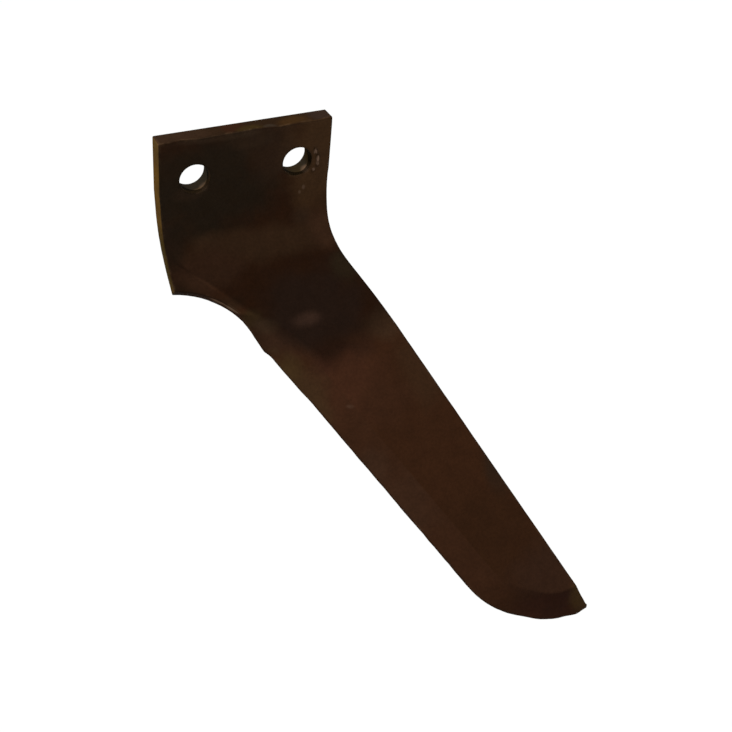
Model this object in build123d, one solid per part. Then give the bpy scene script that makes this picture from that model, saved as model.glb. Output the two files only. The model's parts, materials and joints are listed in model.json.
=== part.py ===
from build123d import *
from math import cos, radians, sin, tan
import os

# Rotary tiller blade: one flat forged bar with two bolt holes, one bend, and a bevelled knife below the bend.
# X runs across the head, Y back through the flange that it is bolted to, and Z up.
# The origin is midway between the two bolt holes, on the back face that meets the flange.

# Bar and head
blade_thickness = 10.0
head_width = 100.0
square_side = 32.0
left_side_taper = 2.7
right_side_taper = 2.6

# Bolt holes
bolt_pitch = 60.0
bolt_hole_diameter = 17.5
bolts_below_top = 24.2

# Bend: the radius is that of the hollow front face, and the tilt turns its line from the top edge.
bend_radius = 48.0
bend_angle = 45.0
bend_tilt = 9.0
bend_below_top = 41.0
shoulder_below_bend = 2.0

# Corners of the knife, laid out flat: across from the head's right side, and down from the end of the bend
neck_corner_down = -5.7
trailing_root = (19.8, 36.9)
tip_right = (108.1, 238.0)
tip_bottom = (85.5, 241.9)
tip_left = (46.2, 224.2)

# The leading edge starts at this corner, which is measured across from the head's left side.
leading_root = (44.5, 41.7)

# Radii of those corners, and of the shoulder between the head and the leading edge
neck_radius = 58.0
trailing_root_radius = 380.0
tip_bottom_radius = 48.0
tip_left_radius = 54.0
shoulder_radius = 52.0

# Bevel on the front of the leading edge and round the tip
bevel_width = 16.0
cutting_edge_thickness = 3.0
bevel_runout_radius = 26.0
bevel_runout_turn = 96.0

# Rounding of the forged edges
edge_radius = 0.8
ridge_radius = 4.0

# Values that follow from the sizes above
half_width = head_width / 2
bend_length = bend_radius * radians(bend_angle)
tilt = radians(bend_tilt)
knife_top = bend_below_top + bend_length / cos(tilt)
reach = 4 * head_width


# Closer than this, an edge lies on a line.
touching = 0.01

# Degrees between the two faces that meet at the bevel's ridge, and at a sharp edge
least_ridge_turn = 12
least_sharp_turn = 35
most_sharp_turn = 120


# The flat layout has X across and Y down, from the middle of the head's top edge.
def on_knife(corner, side=half_width):
    """A corner of the knife as a point of the flat layout, across from one side of the head."""
    return Vector(side + corner[0], knife_top + corner[1])


left_foot_x = left_side_taper - half_width
past_bend = bend_length + shoulder_below_bend
left_foot = Vector(left_foot_x, bend_below_top + past_bend / cos(tilt) - left_foot_x * tan(tilt))
root = on_knife(leading_root, -half_width)


def rounded_line(corners):
    """A line through the corners, each rounded to its own radius, apart from the first and the last."""
    points = [point for point, radius in corners]
    radii = [radius for point, radius in corners[1:-1]]
    return FilletPolyline(*points, radius=radii)


# Right side of the rough plate: the head's side, the neck and the trailing edge
trailing_line = rounded_line([
    (Vector(half_width, 0), 0),
    (Vector(half_width, square_side), 0),
    (on_knife((-right_side_taper, neck_corner_down)), neck_radius),
    (on_knife(trailing_root), trailing_root_radius),
    (on_knife(tip_right), 0),
])

# Left side of the rough plate: the tip and the leading edge, which runs out across the root of the knife
runout_turn = radians(bevel_runout_turn)
runout_start = root - Vector(sin(runout_turn), cos(runout_turn)) * reach
bevel_line = rounded_line([
    (on_knife(tip_right), 0),
    (on_knife(tip_bottom), tip_bottom_radius),
    (on_knife(tip_left), tip_left_radius),
    (root, bevel_runout_radius),
    (runout_start, 0),
])
rough_end = Polyline(runout_start, (runout_start.X, 0), (half_width, 0))
rough_face = make_face(trailing_line.edges() + bevel_line.edges() + rough_end.edges())


def lies_on(edge, line):
    """Whether the middle of an edge is on a line."""
    return line.distance_to(Vertex(edge @ 0.5)) < touching


# Bevel: the front edge of the rough plate is chamfered along the tip, the leading edge and its run-out.
rough_plate = extrude(rough_face, blade_thickness)
rough_front = rough_plate.faces().sort_by(Axis.Z)[0]
bevelled_edges = [edge for edge in rough_front.edges() if lies_on(edge, bevel_line)]
bevel_depth = blade_thickness - cutting_edge_thickness
rough_plate = chamfer(bevelled_edges, bevel_width, bevel_depth, reference=rough_front)

# Shoulder: what is cut away left of the head and below its foot, in an arc down to the root of the knife
shoulder = RadiusArc(left_foot, root, -shoulder_radius)
past_root = root + (shoulder % 1) * bevel_width
waste_left = root.X - reach
waste_line = Polyline(
    past_root,
    (waste_left, past_root.Y + reach),
    (waste_left, -reach),
    (-half_width, -reach),
    (-half_width, square_side),
    left_foot,
)
waste_face = make_face(shoulder.edges() + Line(root, past_root).edges() + waste_line.edges())
flat_blade = rough_plate - extrude(waste_face, blade_thickness)

# Turned to the bend, the flat blade has X along the bend line and Y as the distance past its start.
turned_blade = Rot(0, 0, bend_tilt) * Pos(0, -bend_below_top) * flat_blade

# This plane holds the start of the bend on the front face, and looks into the metal.
bend_plane = Plane(
    origin=(0, -blade_thickness, bolts_below_top - bend_below_top),
    x_dir=(cos(tilt), 0, sin(tilt)),
    z_dir=(0, 1, 0),
)
bend_axis = Axis(bend_plane.origin - bend_plane.z_dir * bend_radius, -bend_plane.x_dir)


def cut_between(start, end):
    """The part of the flat blade between two lines along the bend."""
    band = Box(2 * reach, end - start, 2 * blade_thickness)
    return turned_blade & Pos(0, (start + end) / 2, blade_thickness / 2) * band


def section_through(distance):
    """A slice across the flat blade, so far past the start of the bend and taller than the bar both ways."""
    slice_plane = Plane(origin=(0, distance, blade_thickness / 2), z_dir=(0, 1, 0))
    slice_box = section(turned_blade, section_by=slice_plane).bounding_box()
    middle = Pos(slice_box.center().X, distance, blade_thickness / 2)
    return Pos(0, -distance) * middle * Rot(90, 0, 0) * Rectangle(slice_box.size.X, 2 * blade_thickness)


# Head: the flat plate above the bend
head = bend_plane * cut_between(-reach, 0)

# Neck: slices carried round the bend give its side walls, and a ring gives its front and back faces.
station_count = 8
neck_sections = []
for station in range(station_count + 1):
    share = station / station_count
    flat_section = bend_plane * section_through(share * bend_length)
    neck_sections.append(flat_section.rotate(bend_axis, share * bend_angle))
bar_section = Rot(90, 0, 0) * Rectangle(2 * reach, blade_thickness)
bar_section = bend_plane * Pos(0, 0, blade_thickness / 2) * bar_section
neck = revolve(bar_section, bend_axis, bend_angle) & loft(neck_sections)

# Knife: the bevelled blade below the bend, carried round it
knife = bend_plane * Pos(0, -bend_length) * cut_between(bend_length, reach)
knife = knife.rotate(bend_axis, bend_angle)

blade = head + neck + knife


def edges_that_turn(solid, least, most):
    """The edges where two faces meet at an angle between these limits."""
    picked = []
    for edge in solid.edges():
        normals = [face.normal_at(edge @ 0.5) for face in solid.faces() if edge in face.edges()]
        if len(normals) == 2 and least < normals[0].get_angle(normals[1]) < most:
            picked.append(edge)
    return picked


# The ridge of the bevel is rounded first, and then every sharp edge.
blade = fillet(edges_that_turn(blade, least_ridge_turn, least_sharp_turn), ridge_radius)
blade = fillet(edges_that_turn(blade, least_sharp_turn, most_sharp_turn), edge_radius)

# Bolt holes, with sharp rims
drill_length = 4 * blade_thickness
drill = Cylinder(bolt_hole_diameter / 2, drill_length, rotation=(90, 0, 0))
for side in (-1, 1):
    blade -= Pos(side * bolt_pitch / 2, 0, 0) * drill

os.makedirs("parts", exist_ok=True)
export_step(blade, "parts/tine_blade.step")
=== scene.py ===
# %% [markdown]
# A forged blade for an upright-rotor tiller, dressed and lit in Blender.
# The real blade is one bar of spring steel. It is forged, bent, sheared, hardened and dipped in
# oil, and nothing is fitted to it. The solid model gives its true size and form.
# This lesson adds what forging leaves on it, and lights it as a product picture.

# %% Load the solid model and note its size
import json
import math

import bpy
from mathutils import Matrix, Vector

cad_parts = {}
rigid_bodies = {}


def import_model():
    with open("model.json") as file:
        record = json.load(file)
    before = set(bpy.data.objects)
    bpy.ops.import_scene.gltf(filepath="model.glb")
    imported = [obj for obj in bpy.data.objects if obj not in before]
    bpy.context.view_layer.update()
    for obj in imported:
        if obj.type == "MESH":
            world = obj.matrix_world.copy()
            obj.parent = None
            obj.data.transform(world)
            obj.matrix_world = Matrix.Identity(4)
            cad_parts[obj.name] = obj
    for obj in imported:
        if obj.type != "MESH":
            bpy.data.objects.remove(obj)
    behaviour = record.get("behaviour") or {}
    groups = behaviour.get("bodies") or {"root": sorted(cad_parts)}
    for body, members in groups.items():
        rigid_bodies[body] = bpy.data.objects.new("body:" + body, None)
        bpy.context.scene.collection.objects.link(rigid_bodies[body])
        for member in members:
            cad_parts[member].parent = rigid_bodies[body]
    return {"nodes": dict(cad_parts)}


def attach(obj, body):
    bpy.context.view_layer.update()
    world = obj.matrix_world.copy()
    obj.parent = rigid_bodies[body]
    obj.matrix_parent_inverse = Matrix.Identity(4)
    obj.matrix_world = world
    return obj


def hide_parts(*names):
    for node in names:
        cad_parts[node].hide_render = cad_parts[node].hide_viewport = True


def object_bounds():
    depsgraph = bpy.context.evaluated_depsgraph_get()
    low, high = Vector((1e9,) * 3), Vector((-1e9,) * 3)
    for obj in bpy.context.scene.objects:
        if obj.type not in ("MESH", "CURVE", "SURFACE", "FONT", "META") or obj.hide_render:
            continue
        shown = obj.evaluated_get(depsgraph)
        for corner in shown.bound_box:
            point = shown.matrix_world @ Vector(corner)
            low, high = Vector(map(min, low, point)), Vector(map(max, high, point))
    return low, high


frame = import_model()
solid = frame["nodes"]["tine_blade"]
solid_low, solid_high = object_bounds()
MM = 0.001
print("solid blade in mm:", [round(side / MM, 1) for side in solid_high - solid_low])


# %% [markdown]
# The camera stands where the photographer stood: left of the blade, above it and looking down,
# with a slight roll. It could be aimed by eye, but a fit of the solid's corners, holes and outline
# to the picture is closer, so its place is written as angles and a distance.

# %% Camera
CAMERA_AZIMUTH = math.radians(-30.44)
CAMERA_ELEVATION = math.radians(39.19)
CAMERA_ROLL = math.radians(6.35)
CAMERA_DISTANCE = 0.803
CAMERA_AIM = Vector((0.0884, -0.0100, -0.1642))
CAMERA_LENS_MM = 59.95
SENSOR_MM = 36.0
CLIP_NEAR = 0.01
CLIP_FAR = 100.0


def direction(azimuth, elevation):
    """A unit vector from the object, as the camera's angles count them."""
    flat = math.cos(elevation)
    return Vector((math.sin(azimuth) * flat, -math.cos(azimuth) * flat, math.sin(elevation)))


def add_camera():
    """A camera that looks at its aim from its angles, turned about its own axis by the roll."""
    data = bpy.data.cameras.new("photo_camera")
    data.lens = CAMERA_LENS_MM
    data.sensor_width = SENSOR_MM
    data.clip_start = CLIP_NEAR
    data.clip_end = CLIP_FAR
    camera = bpy.data.objects.new("photo_camera", data)
    bpy.context.scene.collection.objects.link(camera)
    backward = direction(CAMERA_AZIMUTH, CAMERA_ELEVATION)
    level_right = Vector((math.cos(CAMERA_AZIMUTH), math.sin(CAMERA_AZIMUTH), 0))
    level_up = backward.cross(level_right)
    right = level_right * math.cos(CAMERA_ROLL) + level_up * math.sin(CAMERA_ROLL)
    up = backward.cross(right)
    turn = Matrix((right, up, backward)).transposed()
    place = CAMERA_AIM + backward * CAMERA_DISTANCE
    camera.matrix_world = Matrix.Translation(place) @ turn.to_4x4()
    bpy.context.scene.camera = camera
    return camera


camera = add_camera()
print("camera stands at", [round(value, 3) for value in camera.location])

# %% [markdown]
# The main light comes from behind the head, high on the left. The head throws a shadow on the
# root of the knife, and the shadow's lowest corner gives the lamp's direction. A large soft lamp
# would blur that shadow, so the key is a sun with a small disc.

# %% Key lamp
KEY_DIRECTION = Vector((-0.493, 0.404, 0.771)).normalized()
KEY_STRENGTH = 4.5
KEY_ANGLE = math.radians(2.2)
KEY_COLOUR = (1.0, 0.97, 0.92)


def add_key():
    """A sun lamp with a small disc, for shadows with soft edges."""
    lamp = bpy.data.lights.new("key", "SUN")
    lamp.energy = KEY_STRENGTH
    lamp.angle = KEY_ANGLE
    lamp.color = KEY_COLOUR
    key = bpy.data.objects.new("key", lamp)
    key.rotation_mode = "QUATERNION"
    key.rotation_quaternion = KEY_DIRECTION.to_track_quat("Z", "Y")
    bpy.context.scene.collection.objects.link(key)
    return key


bpy.ops.object.select_all(action="DESELECT")
key = add_key()
print("key lamp shines from", [round(value, 3) for value in KEY_DIRECTION])

# %% [markdown]
# A small light spot lies in the head's shadow, where the key can't reach. It could be painted,
# but it is light, so a narrow lamp from the front right stands in for what threw it.

# %% Lamp for the light spot
SPOT_AIM = Vector((0.0212, -0.0528, -0.0769))
SPOT_FROM = Vector((0.806, -0.415, 0.423)).normalized()
SPOT_DISTANCE = 0.45
SPOT_CONE = math.radians(1.25)
SPOT_POWER = 8.0
SPOT_BLEND = 0.8
SPOT_SOFT_SIZE = 0.002
SPOT_COLOUR = (1.0, 0.95, 0.95)


def add_spot():
    """A narrow weak lamp for the small light spot in the head's shadow."""
    lamp = bpy.data.lights.new("spot", "SPOT")
    lamp.energy = SPOT_POWER
    lamp.spot_size = SPOT_CONE
    lamp.spot_blend = SPOT_BLEND
    lamp.shadow_soft_size = SPOT_SOFT_SIZE
    lamp.color = SPOT_COLOUR
    spot = bpy.data.objects.new("spot", lamp)
    spot.location = SPOT_AIM + SPOT_FROM * SPOT_DISTANCE
    spot.rotation_mode = "QUATERNION"
    spot.rotation_quaternion = SPOT_FROM.to_track_quat("Z", "Y")
    bpy.context.scene.collection.objects.link(spot)
    return spot


spot = add_spot()
print("spot lamp stands at", [round(value, 3) for value in spot.location])

# %% [markdown]
# The rest of the light is an even pale room with a white background. One bright room would wash
# out the shadow, so the camera and the gloss see white, and the soft light comes from a dimmer
# room. The floor lies well below the blade, because the blade hangs from its bolts.

# %% Room and floor
ROOM_STRENGTH = 0.38
WHITE = (1, 1, 1, 1)
FLOOR_DROP = 0.30
FLOOR_HALF = 12.0
FLOOR_BOUNCE = (0.30, 0.30, 0.30, 1)
FLOOR_GREY = 0.685
FLOOR_SEEN = (FLOOR_GREY, FLOOR_GREY * 1.03, FLOOR_GREY * 1.06, 1)


def seen_or_mirrored(nodes, links):
    """1 for rays from the camera and rays off gloss, and 0 for the soft light between surfaces."""
    path = nodes.new("ShaderNodeLightPath")
    seen = nodes.new("ShaderNodeMath")
    seen.operation = "MAXIMUM"
    links.new(path.outputs["Is Camera Ray"], seen.inputs[0])
    links.new(path.outputs["Is Glossy Ray"], seen.inputs[1])
    return seen.outputs[0]


def add_background(nodes, strength):
    """White light of one strength for the world."""
    background = nodes.new("ShaderNodeBackground")
    background.inputs["Color"].default_value = WHITE
    background.inputs["Strength"].default_value = strength
    return background.outputs[0]


def add_world():
    """An even room for the blade, which the camera and the gloss see as white."""
    world = bpy.data.worlds.new("studio")
    world.use_nodes = True
    nodes, links = world.node_tree.nodes, world.node_tree.links
    nodes.clear()
    out = nodes.new("ShaderNodeOutputWorld")
    mix = nodes.new("ShaderNodeMixShader")
    links.new(seen_or_mirrored(nodes, links), mix.inputs[0])
    links.new(add_background(nodes, ROOM_STRENGTH), mix.inputs[1])
    links.new(add_background(nodes, 1.0), mix.inputs[2])
    links.new(mix.outputs[0], out.inputs["Surface"])
    bpy.context.scene.world = world


def add_floor():
    """A wide pale floor, well below the blade."""
    height = solid_low.z - FLOOR_DROP
    bpy.ops.mesh.primitive_plane_add(size=2 * FLOOR_HALF, location=(0, 0, height))
    floor = bpy.context.object
    floor.name = "floor"
    paint = bpy.data.materials.new("pale_floor")
    paint.use_nodes = True
    nodes, links = paint.node_tree.nodes, paint.node_tree.links
    shader = nodes["Principled BSDF"]
    mix = nodes.new("ShaderNodeMix")
    mix.data_type = "RGBA"
    mix.inputs["A"].default_value = FLOOR_BOUNCE
    mix.inputs["B"].default_value = FLOOR_SEEN
    links.new(seen_or_mirrored(nodes, links), mix.inputs["Factor"])
    links.new(mix.outputs["Result"], shader.inputs["Base Color"])
    shader.inputs["Roughness"].default_value = 1.0
    shader.inputs["Specular IOR Level"].default_value = 0.0
    floor.data.materials.append(paint)
    return floor


add_world()
floor = add_floor()
bpy.context.scene.view_settings.view_transform = "Standard"
print("floor lies at", round(floor.location.z, 3))

# %% [markdown]
# The steel is one material, built up in layers like its real surface: scale, then stains, then
# wear, with painted light and shade laid in among them. A painted picture would need its own
# unwrapping and would show seams, so every layer is worked out from the place on the blade. This
# class keeps each layer to a line or two.

# %% A short way to add shader nodes
BALL_CORE = 0.35


class Graph:
    """A short way to add nodes to one material."""

    def __init__(self, material):
        material.use_nodes = True
        self.nodes = material.node_tree.nodes
        self.links = material.node_tree.links
        self.shader = self.nodes["Principled BSDF"]
        self.place = self.nodes.new("ShaderNodeTexCoord").outputs["Object"]
        self.normal = self.nodes.new("ShaderNodeNewGeometry").outputs["Normal"]

    def put(self, socket, value):
        """Links a socket to another node, or sets its value."""
        if isinstance(value, bpy.types.NodeSocket):
            self.links.new(value, socket)
        else:
            socket.default_value = value

    def math(self, operation, first, second=0.0, clamp=False):
        """One step of arithmetic."""
        node = self.nodes.new("ShaderNodeMath")
        node.operation = operation
        node.use_clamp = clamp
        self.put(node.inputs[0], first)
        self.put(node.inputs[1], second)
        return node.outputs[0]

    def times(self, *factors):
        """The product of several values."""
        product = factors[0]
        for factor in factors[1:]:
            product = self.math("MULTIPLY", product, factor)
        return product

    def rest(self, value):
        """What is left of 1."""
        return self.math("SUBTRACT", 1.0, value)

    def vector_math(self, operation, first, second):
        """One step of arithmetic on vectors."""
        node = self.nodes.new("ShaderNodeVectorMath")
        node.operation = operation
        self.put(node.inputs[0], first)
        self.put(node.inputs[1], second)
        return node

    def along(self, vector, way):
        """How far a vector goes along a way."""
        return self.vector_math("DOT_PRODUCT", vector, way).outputs["Value"]

    def length(self, vector):
        """The length of a vector."""
        return self.vector_math("LENGTH", vector, (0, 0, 0)).outputs["Value"]

    def ramp(self, value, low, high, out_low=0.0, out_high=1.0):
        """A smooth step from one value to another."""
        node = self.nodes.new("ShaderNodeMapRange")
        node.interpolation_type = "SMOOTHSTEP"
        self.put(node.inputs["Value"], value)
        node.inputs["From Min"].default_value = low
        node.inputs["From Max"].default_value = high
        node.inputs["To Min"].default_value = out_low
        node.inputs["To Max"].default_value = out_high
        return node.outputs["Result"]

    def noise(self, scale, detail=3.0):
        """Noise from 0 to 1, in patches about 1 / scale metres wide."""
        node = self.nodes.new("ShaderNodeTexNoise")
        self.put(node.inputs["Vector"], self.place)
        node.inputs["Scale"].default_value = scale
        node.inputs["Detail"].default_value = detail
        return node.outputs["Fac"]

    def mix(self, factor, first, second, blend="MIX"):
        """Two colours blended by a factor."""
        node = self.nodes.new("ShaderNodeMix")
        node.data_type = "RGBA"
        node.blend_type = blend
        self.put(node.inputs["Factor"], factor)
        for name, value in (("A", first), ("B", second)):
            if isinstance(value, tuple):
                value = (*value, 1)
            self.put(node.inputs[name], value)
        return node.outputs["Result"]

    def facing(self, way, low, high):
        """1 where the surface faces a way, between the cosines low and high."""
        return self.ramp(self.along(self.normal, way), low, high)

    def from_point(self, place, point):
        """A place as seen from a point in millimetres."""
        return self.vector_math("SUBTRACT", place, [side * MM for side in point]).outputs[0]

    def ball(self, centre, radii, broken):
        """A soft ball, 1 in its core and 0 at its radii in millimetres, with a broken border."""
        from_centre = self.from_point(self.place, centre)
        shares = self.vector_math("DIVIDE", from_centre, [side * MM for side in radii]).outputs[0]
        return self.ramp(self.math("ADD", self.length(shares), broken), 1.0, BALL_CORE)


steel = bpy.data.materials.new("oiled_forged_steel")
graph = Graph(steel)
split = graph.nodes.new("ShaderNodeSeparateXYZ")
graph.links.new(graph.place, split.inputs[0])
print("material:", steel.name)

# %% [markdown]
# The front is dark brown mill scale under old oil, and it isn't even. The head has a blue-black
# patch and a redder right side, and the leading edge has a yellower strip. Not every patch is a
# stain: a lighter band across the bend is a painted highlight, one patch left of the bend and one
# at the knife's root are painted light, and patches on the foot and at the head shadow's tip are
# painted shade. Plain noise would put such patches anywhere, so each one is a soft ball of colour
# with its own place: a name, a centre and radii in millimetres, a colour, and how strongly it
# covers.

# %% Stains, painted light and painted shade on the front
BROWN = (0.0375, 0.0142, 0.0058)
STAIN_GRAIN = 55.0
STAIN_BREAK = 0.9
HEAD_STAINS = [
    ("head_dark", (-24, -10, -7), (62, 18, 46), (0.0240, 0.0145, 0.0076), 1.0),
    ("head_mid", (16, -10, 8), (22, 10, 24), (0.0400, 0.0205, 0.0108), 0.85),
    ("between_holes", (25, -10, 7), (14, 8, 14), (0.0520, 0.0260, 0.0130), 0.7),
    ("top_middle", (3, -10, 18), (17, 6, 7), (0.0430, 0.0235, 0.0125), 0.8),
    ("head_right", (46, -10, 4), (30, 16, 52), (0.076, 0.0370, 0.0155), 0.95),
    ("top_lip", (-18, -10, 23), (34, 5, 3.5), (0.070, 0.042, 0.024), 0.4),
    ("below_hole", (-34, -10, -9), (11, 4, 6), (0.040, 0.0220, 0.0120), 0.6),
]
NECK_STAINS_PAINTED_LIGHT_AND_SHADE = [
    # The next two patches are a painted highlight: the lighter band where the bend catches the
    # light.
    ("bend_painted_highlight", (6, -20, -43), (72, 14, 14), (0.064, 0.031, 0.0145), 0.88),
    ("bend_right_painted_highlight", (32, -11, -35), (13, 8, 8), (0.0600, 0.0330, 0.0180), 0.6),
    ("neck_right", (46, -20, -41), (14, 14, 17), (0.082, 0.0370, 0.0185), 0.9),
    # This patch is painted light: it brightens the side of the foot that lies in the head's
    # shadow.
    ("bend_left_painted_light", (-26, -22, -54), (30, 16, 16), (0.056, 0.0245, 0.0120), 1.0),
    ("left_dark", (-45, -12, -36), (12, 10, 24), (0.0250, 0.0150, 0.0085), 0.7),
    # This patch is painted shade: it darkens the foot where the key lamp lights it.
    ("foot", (-47, -24, -64), (15, 11, 11), (0.0300, 0.0140, 0.0062), 1.0),
    ("shoulder_rim", (-22, -37, -68), (17, 7, 7), (0.0300, 0.0140, 0.0066), 0.9),
]
KNIFE_STAINS_PAINTED_LIGHT_AND_SHADE = [
    ("knife_root", (26, -50, -75), (46, 40, 34), (0.0330, 0.0165, 0.0100), 1.0),
    ("root_olive", (53, -38, -57), (14, 12, 12), (0.044, 0.0270, 0.0130), 0.9),
    # This patch is painted light: it brightens steel that the head's shadow covers.
    ("root_right_painted_light", (66, -64, -81), (18, 15, 13), (0.054, 0.0270, 0.0135), 0.8),
    ("edge_root", (-9, -45, -74), (9, 9, 8), (0.050, 0.0290, 0.0115), 0.7),
    ("edge_strip", (-4, -57, -85), (10, 12, 12), (0.052, 0.0245, 0.0130), 0.8),
    ("edge_green", (-5, -62, -90), (9, 10, 10), (0.0540, 0.0370, 0.0170), 0.8),
    ("edge_lit", (-4, -50, -78), (11, 8, 7), (0.0560, 0.0310, 0.0165), 0.8),
    ("edge_top", (4, -72, -99), (15, 18, 18), (0.062, 0.0370, 0.0135), 0.85),
    # This patch is painted shadow, which widens the tip of the head's shadow.
    ("shadow_tip", (36, -71, -94), (26, 12, 10), (0.0190, 0.0090, 0.0052), 0.9),
    ("right_strip", (81, -87, -103), (20, 30, 28), (0.043, 0.0215, 0.0100), 0.5),
    ("right_low", (109, -139, -151), (13, 24, 22), (0.0245, 0.0135, 0.0078), 0.8),
    ("knife_top", (34, -84, -104), (34, 34, 34), (0.054, 0.0200, 0.0096), 0.9),
    # This patch is painted shadow too, at the lower left of the head's shadow.
    ("shadow_foot", (22, -73, -97), (9, 8, 7), (0.0340, 0.0130, 0.0070), 0.6),
    ("knife_mid", (54, -94, -114), (22, 22, 22), (0.0400, 0.0155, 0.0070), 0.8),
    ("knife_low", (96, -160, -176), (44, 44, 44), (0.0310, 0.0122, 0.0049), 0.9),
    ("tip", (124, -190, -196), (36, 28, 28), (0.0325, 0.0142, 0.0076), 0.9),
]


def lay_patches(colour, patches, within=None):
    """The colour with each patch laid over it, inside a mask if one is given."""
    for name, centre, radii, patch_colour, strength in patches:
        mask = graph.times(graph.ball(centre, radii, broken), strength)
        if within is not None:
            mask = graph.times(mask, within)
        colour = graph.mix(mask, colour, patch_colour)
    return colour


broken = graph.times(graph.math("SUBTRACT", graph.noise(STAIN_GRAIN, 4.0), 0.5), STAIN_BREAK)
colour = graph.mix(0.0, BROWN, BROWN)
# These lists hold real stains together with the painted light and shade named above.
stains = HEAD_STAINS + NECK_STAINS_PAINTED_LIGHT_AND_SHADE + KNIFE_STAINS_PAINTED_LIGHT_AND_SHADE
colour = lay_patches(colour, stains)
print("stains on the front:", len(stains))

# %% [markdown]
# The key lamp lights the head's foot, below the bend on the left, up to the sharp edge of the
# head's shadow, and the lit part comes out too bright. A second lamp can't take light away, so
# painted shade darkens the steel past a line along that shadow edge.

# %% Painted shade on the foot
FOOT_WAY = (0.657, 0.753, 0.0254)
FOOT_LIMIT = -0.0398
FOOT_FADE = 0.0018
FOOT_DARKER = 0.42
FOOT_CENTRE = (-38, -24, -60)
FOOT_RADII = (34, 24, 24)
BLACK = (0.0, 0.0, 0.0)

past_limit = graph.ramp(graph.along(graph.place, FOOT_WAY), FOOT_LIMIT, FOOT_LIMIT - FOOT_FADE)
painted_shade_on_foot = graph.times(past_limit, FOOT_DARKER, graph.ball(FOOT_CENTRE, FOOT_RADII, 0.0))
colour = graph.mix(painted_shade_on_foot, colour, BLACK)
print("foot darker by", FOOT_DARKER)

# %% [markdown]
# The bevel is a little redder than the flat front, as if its scale were thinner. Its colour
# could be bound to chosen faces, but its ridge is rounded, so a mask reads how far the surface
# turns from the knife's flat front.

# %% Bevel
KNIFE_FRONT = (-0.1106, -0.7071, 0.6984)
BEND_END = (-0.060, -0.072)
BEVEL_STAINS_AND_PAINTED_SHADE = [
    ("bevel", (60, -130, -150), (140, 140, 140), (0.0430, 0.0172, 0.0082), 0.6),
    ("bevel_high", (10, -84, -111), (20, 30, 28), (0.0560, 0.0290, 0.0125), 0.8),
    ("bevel_nick", (37, -121, -144), (15, 20, 18), (0.0480, 0.0230, 0.0125), 0.6),
    ("bevel_mid", (51, -138, -160), (26, 34, 32), (0.0440, 0.0200, 0.0105), 0.6),
    ("bevel_tip", (124, -199, -214), (34, 24, 14), (0.0420, 0.0150, 0.0078), 0.8),
    # This patch is painted shade, a dark band along the ridge at the tip.
    ("tip_ridge_painted_shade", (120, -196, -209), (34, 12, 10), (0.0280, 0.0100, 0.0054), 0.5),
]

off_flat = graph.rest(graph.facing(KNIFE_FRONT, 0.93, 0.985))
on_front = graph.facing(KNIFE_FRONT, 0.45, 0.80)
bevel = graph.times(off_flat, on_front, graph.ramp(split.outputs["Z"], *BEND_END))
colour = lay_patches(colour, BEVEL_STAINS_AND_PAINTED_SHADE, bevel)
print("stains on the bevel:", len(BEVEL_STAINS_AND_PAINTED_SHADE))

# %% [markdown]
# The top was sheared and the left side was cut. The top is darker than the front, and the left
# side is yellower. They could have materials of their own, but their borders are soft, so a mask
# reads the surface's direction, and stains break up each strip.

# %% Sheared top and left side
TOP_FACE = (0.0175, 0.0085, 0.0036)
TOP_STAINS = [
    ("top_left", (-38, -5, 24), (30, 9, 6), (0.0275, 0.0140, 0.0075), 0.8),
    ("top_red", (-8, -4, 24), (9, 8, 6), (0.0240, 0.0082, 0.0034), 0.8),
    ("top_gold", (2, -9, 24), (10, 5, 5), (0.0280, 0.0165, 0.0042), 0.8),
    ("top_pale", (13, -9, 24), (5, 3, 4), (0.0300, 0.0210, 0.0140), 0.7),
    ("top_orange", (28, -7, 24), (12, 6, 6), (0.0330, 0.0150, 0.0042), 0.8),
    ("top_right", (45, -5, 24), (9, 8, 6), (0.0240, 0.0140, 0.0100), 0.8),
]
LEFT_FACE = (0.0880, 0.0450, 0.0075)
LEFT_STAINS = [
    ("left_grey", (-50, -5, 20), (8, 12, 16), (0.0700, 0.0420, 0.0120), 0.8),
    ("left_low", (-47, -14, -48), (12, 30, 30), (0.0300, 0.0190, 0.0036), 0.95),
]
HEAD_END = (-0.075, -0.055)
CUT_GRAIN = 80.0

top_face = graph.facing((0, 0, 1), 0.75, 0.95)
colour = graph.mix(top_face, colour, TOP_FACE)
colour = lay_patches(colour, TOP_STAINS, top_face)
in_head = graph.ramp(split.outputs["Z"], *HEAD_END)
rough_cut = graph.ramp(graph.noise(CUT_GRAIN, 4.0), 0.32, 0.60, 0.60, 1.0)
left_face = graph.times(graph.facing((-1, 0, 0), 0.70, 0.92), in_head, rough_cut)
colour = graph.mix(left_face, colour, LEFT_FACE)
colour = lay_patches(colour, LEFT_STAINS, left_face)
print("stains on the cut sides:", len(TOP_STAINS) + len(LEFT_STAINS))

# %% [markdown]
# The bores are drilled and grey inside. Their paler half towards the front is painted light, for
# the front of the wall lies in the key's shadow, and a dark patch on the right hole's right wall
# is painted shade. A bore could be a material of its own, but its rim would then be a hard line,
# so its mask is the distance from the hole's axis.

# %% Bores
HOLES = ((-30, 0, 0), (30, 0, 0))
BORE = (0.0165, 0.0125, 0.0080)
BORE_FRONT_PAINTED_LIGHT = (0.0640, 0.0380, 0.0170)
BORE_STAINS_AND_PAINTED_SHADE = [
    # This patch is painted shade on the right hole's right wall.
    ("bore_painted_shade", (39.5, -7, 1), (5, 12, 8), (0.0130, 0.0075, 0.0018), 1.0),
    ("bore_olive", (31, -6, -9), (8, 12, 4), (0.0220, 0.0140, 0.0052), 0.7),
]
BORE_OUTER = 0.0092
BORE_INNER = 0.0089
RIM_DEPTH = (-0.0055, -0.0085)
MID_FRONT = (-0.060, -0.924, 0.378)
BORE_KEEPS = 0.75

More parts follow.
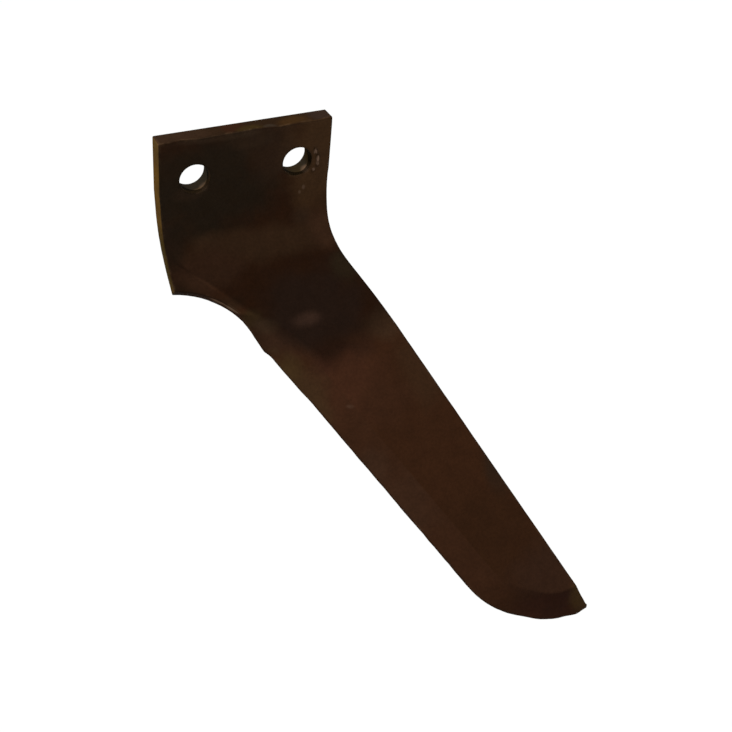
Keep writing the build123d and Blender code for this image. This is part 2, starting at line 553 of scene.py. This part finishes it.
along_bar = graph.math("ABSOLUTE", graph.along(graph.normal, MID_FRONT))
cut_side = graph.ramp(along_bar, 0.65, 0.45)
# The paler front half of each bore is painted light.
painted_light_front_half = graph.ramp(split.outputs["Y"], *RIM_DEPTH)
wall = lay_patches(graph.mix(painted_light_front_half, BORE, BORE_FRONT_PAINTED_LIGHT), BORE_STAINS_AND_PAINTED_SHADE)
off_bores = 1.0
for hole in HOLES:
    across = graph.vector_math("MULTIPLY", graph.place, (1, 0, 1)).outputs[0]
    from_axis = graph.length(graph.from_point(across, hole))
    bore = graph.times(graph.ramp(from_axis, BORE_OUTER, BORE_INNER), cut_side)
    colour = graph.mix(bore, colour, wall)
    off_bores = graph.times(off_bores, graph.rest(graph.times(bore, BORE_KEEPS)))
print("bores:", len(HOLES))

# %% [markdown]
# Oil and dirt gather along the forged edges, and handling rubs them bright in places. A mask
# from the mesh's own corners would depend on its net, so a Bevel node finds the edges: where its
# rounded normal leaves the true one, an edge is near.

# %% Dark and worn edges
EDGE_DARK = (0.014, 0.0085, 0.0045)
EDGE_WORN = (0.085, 0.050, 0.026)
EDGE_REACH = 2.4 * MM
EDGE_SAMPLES = 6
EDGE_COVERS = 0.55
RUBBED_GRAIN = 150.0

rounded = graph.nodes.new("ShaderNodeBevel")
rounded.samples = EDGE_SAMPLES
rounded.inputs["Radius"].default_value = EDGE_REACH
flatness = graph.along(rounded.outputs["Normal"], graph.normal)
edge = graph.times(graph.ramp(flatness, 0.990, 0.930), EDGE_COVERS, off_bores)
worn = graph.ramp(graph.noise(RUBBED_GRAIN, 3.0), 0.50, 0.62)
colour = graph.mix(edge, colour, graph.mix(worn, EDGE_DARK, EDGE_WORN))
print("edges darkened within", round(EDGE_REACH / MM, 1), "mm")

# %% [markdown]
# Bare metal shows where the blade was knocked or scraped: on the tip's corner, on the burr
# beside the right hole and in a few nicks. The burr's bare metal also stands in for the glints on
# it. The glints low in the two bores and the bright line under the shoulder's rim are painted
# highlights, not bare metal. Each is a small ball with a place of its own, like the stains.

# %% Bare metal and painted highlights
BRIGHT = (0.25, 0.155, 0.105)
WORN_TIP = ("worn_tip", (143, -199, -211), (12, 15, 16), (0.074, 0.040, 0.0130), 0.8)
BARE_METAL_AND_PAINTED_GLINTS = [
    # The burr's bare metal stands in for its glints too, so these four marks are partly painted
    # highlight.
    ("burr_top", (40.6, -10, 4.8), (1.2, 3, 2.2), BRIGHT, 0.9),
    ("burr_side", (42.4, -10, 0.0), (1.1, 3, 2.8), BRIGHT, 0.95),
    ("burr_low", (42.4, -10, -3.2), (1.2, 3, 1.6), BRIGHT, 0.6),
    ("burr_foot", (40.2, -10, -6.6), (1.3, 3, 1.2), BRIGHT, 0.75),
    # These two are painted highlights, where light catches the lower wall of each bore.
    ("bore_glint", (35.5, -8, -6.6), (3.2, 4, 2.6), BRIGHT, 0.20),
    ("left_bore_glint", (-24.6, -8, -6.6), (3.4, 4, 2.8), BRIGHT, 0.10),
    ("chip_high", (34.5, -10, -17.0), (1.2, 3, 1.7), BRIGHT, 0.35),
    ("chip_low", (32.0, -10, -19.6), (1.0, 3, 1.3), BRIGHT, 0.3),
    ("knife_fleck", (31.4, -92.1, -115.1), (4.4, 3.0, 1.8), BRIGHT, 0.14),
    ("scratch_high", (37.8, -110.6, -132.6), (1.0, 1.8, 2.0), BRIGHT, 0.45),
    ("scratch_low", (35.4, -112.0, -134.4), (1.2, 1.8, 1.6), BRIGHT, 0.3),
    ("edge_nick", (32.6, -113.4, -136.6), (2.0, 2.4, 2.0), BRIGHT, 0.4),
]
UNDER_RIM = (-0.60, -0.10, -0.79)
RIM_PAINTED_HIGHLIGHTS = [
    # These two are painted highlights, a bright line under the shoulder's rim.
    ("rim_painted_highlight_left", (-25, -35, -66), (7, 7, 5), (0.200, 0.115, 0.070), 0.7),
    ("rim_painted_highlight_right", (-19, -39, -70), (6, 7, 5), (0.240, 0.150, 0.095), 0.7),
]

colour = lay_patches(colour, [WORN_TIP] + BARE_METAL_AND_PAINTED_GLINTS)
colour = lay_patches(colour, RIM_PAINTED_HIGHLIGHTS, graph.facing(UNDER_RIM, 0.20, 0.55))
print("bright marks:", len(BARE_METAL_AND_PAINTED_GLINTS) + len(RIM_PAINTED_HIGHLIGHTS) + 1)

# %% [markdown]
# Close up, the scale is mottled in two sizes: blotches of about 8 mm and flecks of under 2 mm.
# Each shades the colour by 7 percent at most, so they are noise and have no place of their own.

# %% Mottle
BLOTCHES = 130.0
FLECKS = 620.0
SHADE_LOW = 0.93
SHADE_HIGH = 1.07

blotches = graph.ramp(graph.noise(BLOTCHES, 5.0), 0.30, 0.70, SHADE_LOW, SHADE_HIGH)
flecks = graph.ramp(graph.noise(FLECKS, 3.0), 0.35, 0.65, SHADE_LOW, SHADE_HIGH)
shade = graph.nodes.new("ShaderNodeCombineColor")
for socket in shade.inputs[:3]:
    graph.links.new(graph.times(blotches, flecks), socket)
colour = graph.mix(1.0, colour, shade.outputs[0], "MULTIPLY")
graph.put(graph.shader.inputs["Base Color"], colour)
print("shader nodes so far:", len(graph.nodes))

# %% [markdown]
# Old oil gives the scale a faint gloss. Bare steel would be metallic, but scale isn't, so the
# metal value is 0 and the gloss is low. The cut sides are rougher, and so are dry blotches.

# %% Oil
OIL_GLOSS = 0.025
CUT_ROUGHER = 0.55
DRY_BLOTCHES = 90.0
OIL_GRAIN = 240.0

graph.shader.inputs["Metallic"].default_value = 0.0
graph.shader.inputs["Specular IOR Level"].default_value = OIL_GLOSS
oil = graph.ramp(graph.noise(DRY_BLOTCHES, 3.0), 0.35, 0.65, 0.90, 1.10)
rough = graph.times(graph.ramp(graph.noise(OIL_GRAIN, 4.0), 0.3, 0.7, 0.44, 0.62), oil)
rough = graph.math("ADD", rough, graph.times(cut_side, CUT_ROUGHER), clamp=True)
graph.put(graph.shader.inputs["Roughness"], rough)
print("oil gloss:", OIL_GLOSS)

# %% [markdown]
# Scale leaves fine grain and shallow pits, under a tenth of a millimetre deep. Real dents that
# small would need millions of faces, so they are a bump. All that is larger is real form, below.

# %% Grain and pits
BUMP_STRENGTH = 0.5
BUMP_HEIGHT = 0.08 * MM
GRAIN_SHARE = 0.35
PIT_SHARE = 0.65
GRAIN = 900.0
PITS = 260.0

grain = graph.times(graph.noise(GRAIN, 4.0), GRAIN_SHARE)
pits = graph.times(graph.ramp(graph.noise(PITS, 2.0), 0.30, 0.42), PIT_SHARE)
bump = graph.nodes.new("ShaderNodeBump")
bump.inputs["Strength"].default_value = BUMP_STRENGTH
bump.inputs["Distance"].default_value = BUMP_HEIGHT
graph.links.new(graph.math("ADD", grain, pits), bump.inputs["Height"])
graph.links.new(bump.outputs["Normal"], graph.shader.inputs["Normal"])
print("pits up to", BUMP_HEIGHT / MM, "mm deep")

# %% [markdown]
# The forged skin starts as a copy of the solid, because the solid has the true form. Sculpting
# a blade from a plain box would only come near it. The copy is cut into a fine net, so that its
# faces can be moved a little. The cuts are planes, which leave the form exactly as it was.

# %% Copy the solid and cut it into a net
NET_STEP = 3.0 * MM
JOIN_WITHIN = 0.002 * MM
FLAT_WITHIN = math.radians(0.3)


def select_only(piece):
    """Makes one piece the selected and active one."""
    bpy.ops.object.select_all(action="DESELECT")
    piece.select_set(True)
    bpy.context.view_layer.objects.active = piece


def edit(piece, operations):
    """Runs edit-mode operators on a whole piece."""
    select_only(piece)
    bpy.ops.object.mode_set(mode="EDIT")
    bpy.ops.mesh.select_all(action="SELECT")
    operations()
    bpy.ops.object.mode_set(mode="OBJECT")


def copy_solid():
    """A copy of the solid as a piece of its own, without the solid's fixed normals."""
    select_only(solid)
    bpy.ops.object.duplicate()
    piece = bpy.context.object
    piece.name = "forged_blade"
    bpy.ops.object.parent_clear(type="CLEAR_KEEP_TRANSFORM")
    if piece.data.has_custom_normals:
        bpy.ops.mesh.customdata_custom_splitnormals_clear()
    return piece


def join_surfaces():
    """Joins the points of neighbouring surfaces, and merges the triangles of flat faces."""
    bpy.ops.mesh.remove_doubles(threshold=JOIN_WITHIN)
    bpy.ops.mesh.dissolve_limited(angle_limit=FLAT_WITHIN)


def cut_net():
    """Cuts the mesh with planes across X and Z, one net step apart."""
    for way in (Vector((1, 0, 0)), Vector((0, 0, 1))):
        low, high = solid_low.dot(way), solid_high.dot(way)
        for cut in range(1, math.ceil((high - low) / NET_STEP)):
            bpy.ops.mesh.select_all(action="SELECT")
            bpy.ops.mesh.bisect(plane_co=way * (low + cut * NET_STEP), plane_no=way)


def cut_triangles():
    """Cuts every face into triangles."""
    bpy.ops.mesh.quads_convert_to_tris(quad_method="BEAUTY", ngon_method="BEAUTY")


blade = copy_solid()
edit(blade, join_surfaces)
edit(blade, cut_net)
edit(blade, cut_triangles)
print("net:", len(blade.data.vertices), "points,", len(blade.data.polygons), "faces")

# %% [markdown]
# All forging marks are made alike: a Displace modifier moves the net by a cloud texture, and a
# vertex group holds it to its place. Dents could be pushed in by hand, but then their size
# wouldn't be written down. These helpers take every place and size in millimetres.

# %% Helpers that move the net
LEAST_WEIGHT = 0.01


def apply(piece, modifier):
    """Makes a modifier's change a part of the mesh."""
    select_only(piece)
    bpy.ops.object.modifier_apply(modifier=modifier.name)


def weigh(piece, name, weight_at):
    """A vertex group whose weights come from each point's place in millimetres."""
    group = piece.vertex_groups.new(name=name)
    for vertex in piece.data.vertices:
        weight = weight_at(*(side / MM for side in vertex.co))
        if weight > LEAST_WEIGHT:
            group.add([vertex.index], min(weight, 1.0), "REPLACE")
    return group


def ruffle(piece, name, way, amount, size, weight_at, level=0.5):
    """Moves points along a way by clouds of a size, both in millimetres, about a cloud level."""
    weigh(piece, name, weight_at)
    clouds = bpy.data.textures.new(name, "CLOUDS")
    clouds.noise_scale = size * MM
    clouds.noise_depth = 2
    modifier = piece.modifiers.new(name, "DISPLACE")
    modifier.texture = clouds
    modifier.texture_coords = "LOCAL"
    modifier.direction = way
    modifier.strength = 2 * amount * MM
    modifier.mid_level = level
    modifier.vertex_group = name
    apply(piece, modifier)


def places(piece):
    """Where the points of a piece are now."""
    return [vertex.co.copy() for vertex in piece.data.vertices]


def furthest_moved(piece, before):
    """How far the point that moved most has moved, in millimetres."""
    moves = [(vertex.co - old).length for vertex, old in zip(piece.data.vertices, before)]
    return round(max(moves) / MM, 2)


def near_line(place, start, end, reach):
    """1 on the line from start to end, falling to 0 at the reach."""
    start, end = Vector(start), Vector(end)
    along = (place - start).dot(end - start) / (end - start).length_squared
    nearest = start + (end - start) * max(0.0, min(1.0, along))
    return max(0.0, 1.0 - (place - nearest).length / reach)


print("weights below", LEAST_WEIGHT, "are left out")

# %% [markdown]
# Where the leading edge starts, the hammer spread the bar a little to the left, and its corner
# with the shoulder is blunt. The spread is one smooth cloud, and a Smooth modifier blunts the
# corner. A bevel would have left a flat there, which forging doesn't.

# %% Root of the leading edge
SWELL = -1.5
SWELL_CLOUD = 40
SWELL_LINE = ((-11, -50, -80), (8, -80, -106))
SWELL_REACH = 12
SWELL_GAIN = 1.6
CORNER_LINE = ((-10, -56, -85), (-5, -61, -91))
CORNER_REACH = 11
CORNER_GAIN = 1.5
BLUNT_FACTOR = 0.6
BLUNT_TIMES = 20


def root_swell(x, y, z):
    """The start of the leading edge, which the hammer spread a little to the left."""
    return SWELL_GAIN * near_line(Vector((x, y, z)), *SWELL_LINE, SWELL_REACH)


def root_corner(x, y, z):
    """The corner between the shoulder and the leading edge."""
    return CORNER_GAIN * near_line(Vector((x, y, z)), *CORNER_LINE, CORNER_REACH)


before = places(blade)
ruffle(blade, "root_swell", "X", SWELL, SWELL_CLOUD, root_swell, level=0.0)
weigh(blade, "root_corner", root_corner)
smooth = blade.modifiers.new("root_corner", "SMOOTH")
smooth.factor = BLUNT_FACTOR
smooth.iterations = BLUNT_TIMES
smooth.vertex_group = "root_corner"
apply(blade, smooth)
print("root moved by up to", furthest_moved(blade, before), "mm")

# %% [markdown]
# Hot steel comes off the die a little wavy, with shallow hammer marks. A bump would fake them,
# but they show in the gloss and in the outline, so the net moves. The flat back of the head,
# which bears on the flange, and the rims of the holes stay true.

# %% Waves and hammer marks
WAVE_HEIGHT = 0.16
WAVE_SIZE = 26
MARK_HEIGHT = 0.06
MARK_SIZE = 8
RIM_KEPT = 9.5
RIM_FADE = 4
HEAD_BACK = -1
HEAD_BACK_END = -18
HOLES_END = -12


def off_holes(x, z):
    """0 at the rims of the bolt holes and 1 away from them."""
    nearest = min(math.hypot(x - hole[0], z - hole[2]) for hole in HOLES)
    return max(0.0, min(1.0, (nearest - RIM_KEPT) / RIM_FADE))


def forged_faces(x, y, z):
    """All faces but the holes and the flat back of the head."""
    if z > HEAD_BACK_END and y > HEAD_BACK:
        return 0.0
    if z > HOLES_END:
        return off_holes(x, z)
    return 1.0


before = places(blade)
ruffle(blade, "waves", "NORMAL", WAVE_HEIGHT, WAVE_SIZE, forged_faces)
ruffle(blade, "hammered", "NORMAL", MARK_HEIGHT, MARK_SIZE, forged_faces)
print("waves and hammer marks moved points by up to", furthest_moved(blade, before), "mm")

# %% [markdown]
# The shear tore the top's front edge into small lumps. Separate lumps would look stuck on, so
# two clouds move the edge itself, one across the bar and one up and down: a torn edge is uneven
# both ways.

# %% Lumpy top edge
LUMP_FORWARD = (1.1, 9)
LUMP_DOWN = (0.9, 11)
LUMPS_FRONT = -6
LUMPS_FROM = 21
LUMPS_FADE = 3.2


def top_front_edge(x, y, z):
    """The front edge of the sheared top face."""
    if y > LUMPS_FRONT or z < LUMPS_FROM:
        return 0.0
    return (z - LUMPS_FROM) / LUMPS_FADE


before = places(blade)
ruffle(blade, "lumps_forward", "Y", *LUMP_FORWARD, top_front_edge)
ruffle(blade, "lumps_down", "Z", *LUMP_DOWN, top_front_edge)
print("top edge moved by up to", furthest_moved(blade, before), "mm")

# %% [markdown]
# Soil wears the cutting edge uneven, and stones beat the tip's lower corner outwards. The wear
# could be cut into the outline, but it is under a quarter of a millimetre, and the blade keeps
# its width, so clouds move the edge there too.

# %% Worn edge and beaten tip
WEAR = (0.25, 6)
BEATEN = (1.1, 12)
WORN_BELOW = -70
WORN_DEPTH = 6.0
WORN_FADE = 3
POINT_ON_FRONT = Vector((5.31, -24.06, -50.3))
BEATEN_CENTRE = Vector((141, -201, -220))
BEATEN_REACH = 10


def lower_edges(x, y, z):
    """The cutting edge and tip, where the soil wears them."""
    if z > WORN_BELOW:
        return 0.0
    past_front = (Vector((x, y, z)) - POINT_ON_FRONT).dot(Vector(KNIFE_FRONT))
    return max(0.0, min(1.0, (-past_front - WORN_DEPTH) / WORN_FADE))


def beaten_tip(x, y, z):
    """The tip's lower corner, which stones have beaten outwards."""
    away = Vector((x, y, z)) - BEATEN_CENTRE
    return max(0.0, 1.0 - away.length / BEATEN_REACH)


before = places(blade)
ruffle(blade, "worn_edge", "NORMAL", *WEAR, lower_edges)
ruffle(blade, "beaten_tip", "NORMAL", *BEATEN, beaten_tip, level=0.0)
print("edge and tip moved by up to", furthest_moved(blade, before), "mm")

# %% [markdown]
# The drill threw up a burr beside the right hole, and the tip's corner is beaten over into a
# small nub. The net is too coarse to pull such shapes out of it, so each is a low lump of the
# same steel, set into the skin and joined to it.

# %% Burr and nub
BURRS = [
    ((41.0, -10.0, 4.6), (0, math.radians(-25), 0), (0.8, 0.7, 2.6)),
    ((42.4, -10.0, 0.2), (0, math.radians(-5), 0), (0.8, 0.8, 2.8)),
    ((42.6, -10.0, -3.8), (0, math.radians(20), 0), (0.7, 0.6, 1.8)),
    ((40.0, -10.0, -7.2), (0, math.radians(50), 0), (0.8, 0.6, 1.3)),
]
NUB = ((145.9, -200.8, -220.0), (math.radians(30), 0, 0), (1.3, 1.6, 2.9))
LUMP_RUFFLE = (0.25, 1.4)


def everywhere(x, y, z):
    """The whole of a piece."""
    return 1.0


def add_lump(place, turn, size):
    """A low rounded lump, sized and turned, whose place and size are in millimetres."""
    centre = [side * MM for side in place]
    bpy.ops.mesh.primitive_uv_sphere_add(segments=20, ring_count=12, radius=MM, location=centre)
    lump = bpy.context.object
    lump.scale = size
    lump.rotation_euler = turn
    bpy.ops.object.transform_apply(location=True, rotation=True, scale=True)
    ruffle(lump, "lump", "NORMAL", *LUMP_RUFFLE, everywhere)
    return lump


lumps = [add_lump(place, turn, size) for place, turn, size in BURRS + [NUB]]
select_only(blade)
for lump in lumps:
    lump.select_set(True)
bpy.ops.object.join()
print("lumps joined to the skin:", len(lumps))

# %% [markdown]
# The skin takes the steel, and shades smoothly but for its sharp edges. It could lie over the
# solid, but two surfaces so close would flicker, so it takes the solid's place on the same body.

# %% Finish the skin
SHARP_OVER = math.radians(35)

select_only(blade)
blade.data.materials.clear()
blade.data.materials.append(steel)
bpy.ops.object.shade_smooth_by_angle(angle=SHARP_OVER)
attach(blade, "root")
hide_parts("tine_blade")
print("skin:", [round(side / MM, 2) for side in blade.dimensions])

faces_at = {}
for face in blade.data.polygons:
    for pair in face.edge_keys:
        faces_at[pair] = faces_at.get(pair, 0) + 1
print("edges without two faces:", sum(1 for count in faces_at.values() if count != 2))
